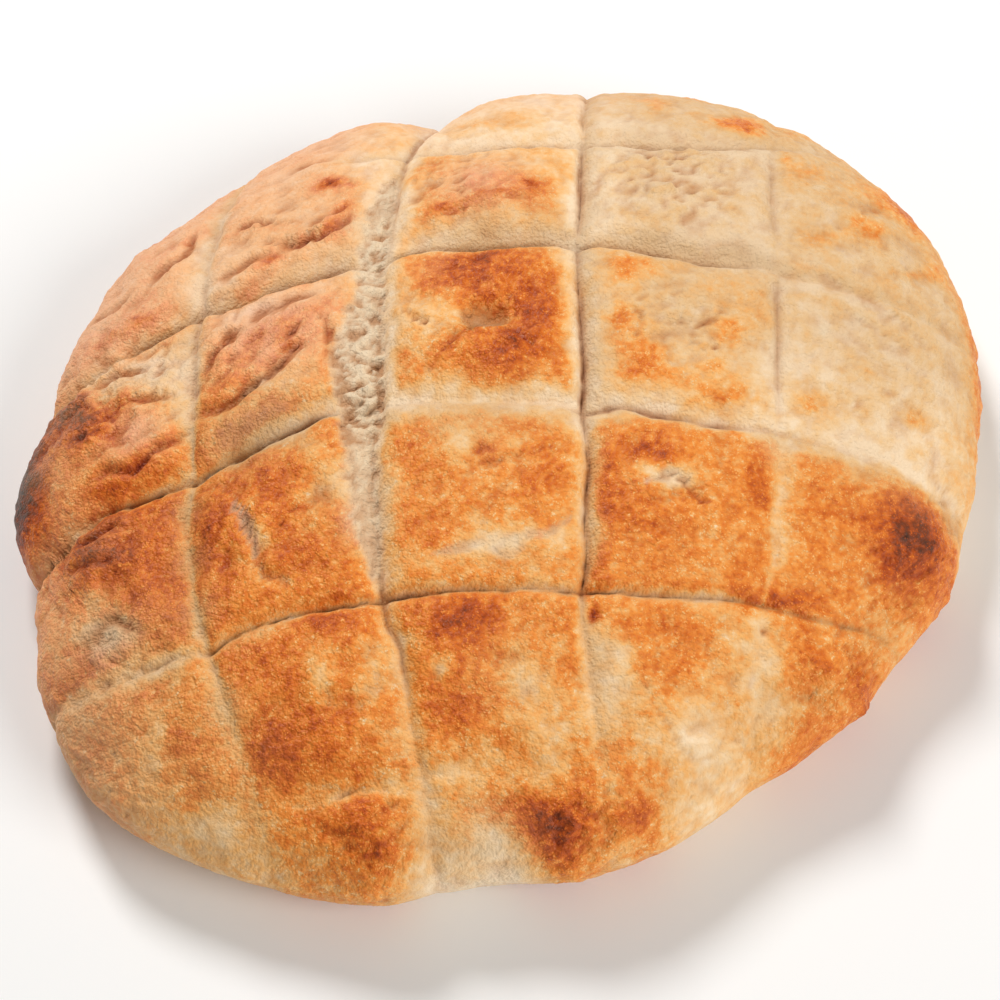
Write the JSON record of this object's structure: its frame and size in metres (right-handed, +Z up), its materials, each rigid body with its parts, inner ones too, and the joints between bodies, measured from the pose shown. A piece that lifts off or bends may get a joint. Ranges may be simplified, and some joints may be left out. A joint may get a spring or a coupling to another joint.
{
  "type": "somun flatbread",
  "caption": "Round leavened flatbread with a domed top scored into puffed squares, a torn baking seam, browned blisters and a flat foot, baked in one piece.",
  "frame": {"origin": "on the table, under the middle of the loaf's box", "axes": "+Z up from the flat foot to the crown, +Y away from a viewer at the front, +X to that viewer's right"},
  "size_m": [0.219, 0.2151, 0.047],
  "materials": {
    "crust": "dry matte baked crust, golden brown on the squares, pale in the score lines, charred on a few blisters"
  },
  "bodies": {
    "root": {"somun_loaf": "crust"}
  },
  "joints": []
}
